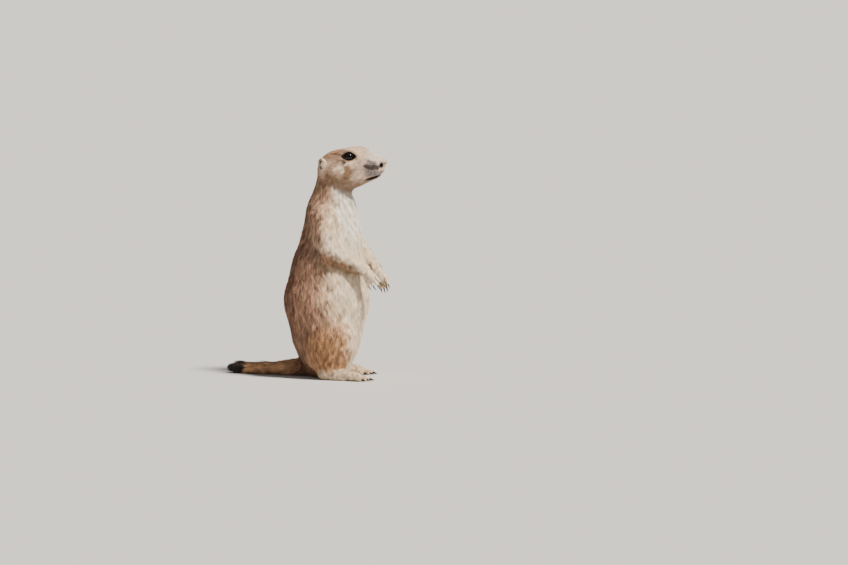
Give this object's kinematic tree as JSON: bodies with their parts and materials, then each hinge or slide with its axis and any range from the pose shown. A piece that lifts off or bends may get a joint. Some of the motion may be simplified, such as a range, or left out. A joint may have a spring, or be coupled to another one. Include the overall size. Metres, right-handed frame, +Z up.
{
  "type": "prairie dog",
  "caption": "Life-size still model of a prairie dog sitting up on its haunches, forelegs held before its chest, tail flat behind.",
  "frame": {"origin": "on the floor, under the middle of the pelvis, on the flat that the rump rests on", "axes": "+Z up along the standing body, -Y the way the animal faces, +X its left side"},
  "size_m": [0.101, 0.2007, 0.2665],
  "materials": {
    "coat_brown": "short matt fur, cinnamon brown with dark tips",
    "coat_cream": "short matt fur, cream",
    "coat_black": "matt black-brown fur",
    "eye": "wet black-brown eye",
    "claw": "dark horn, worn paler at the point",
    "nose_skin": "bare dark skin"
  },
  "bodies": {
    "root": {"trunk": "coat_brown", "neck": "coat_brown", "head": "coat_brown", "nose": "nose_skin", "tail": "coat_brown", "tail_tip": "coat_black", "eye_right": "eye", "eye_left": "eye", "ear_right": "coat_cream", "ear_left": "coat_cream", "upper_foreleg_right": "coat_cream", "upper_foreleg_left": "coat_cream", "forearm_right": "coat_cream", "forearm_left": "coat_cream", "hand_right": "coat_cream", "hand_left": "coat_cream", "thigh_right": "coat_brown", "thigh_left": "coat_brown", "foot_right": "coat_cream", "foot_left": "coat_cream"}
  },
  "joints": []
}
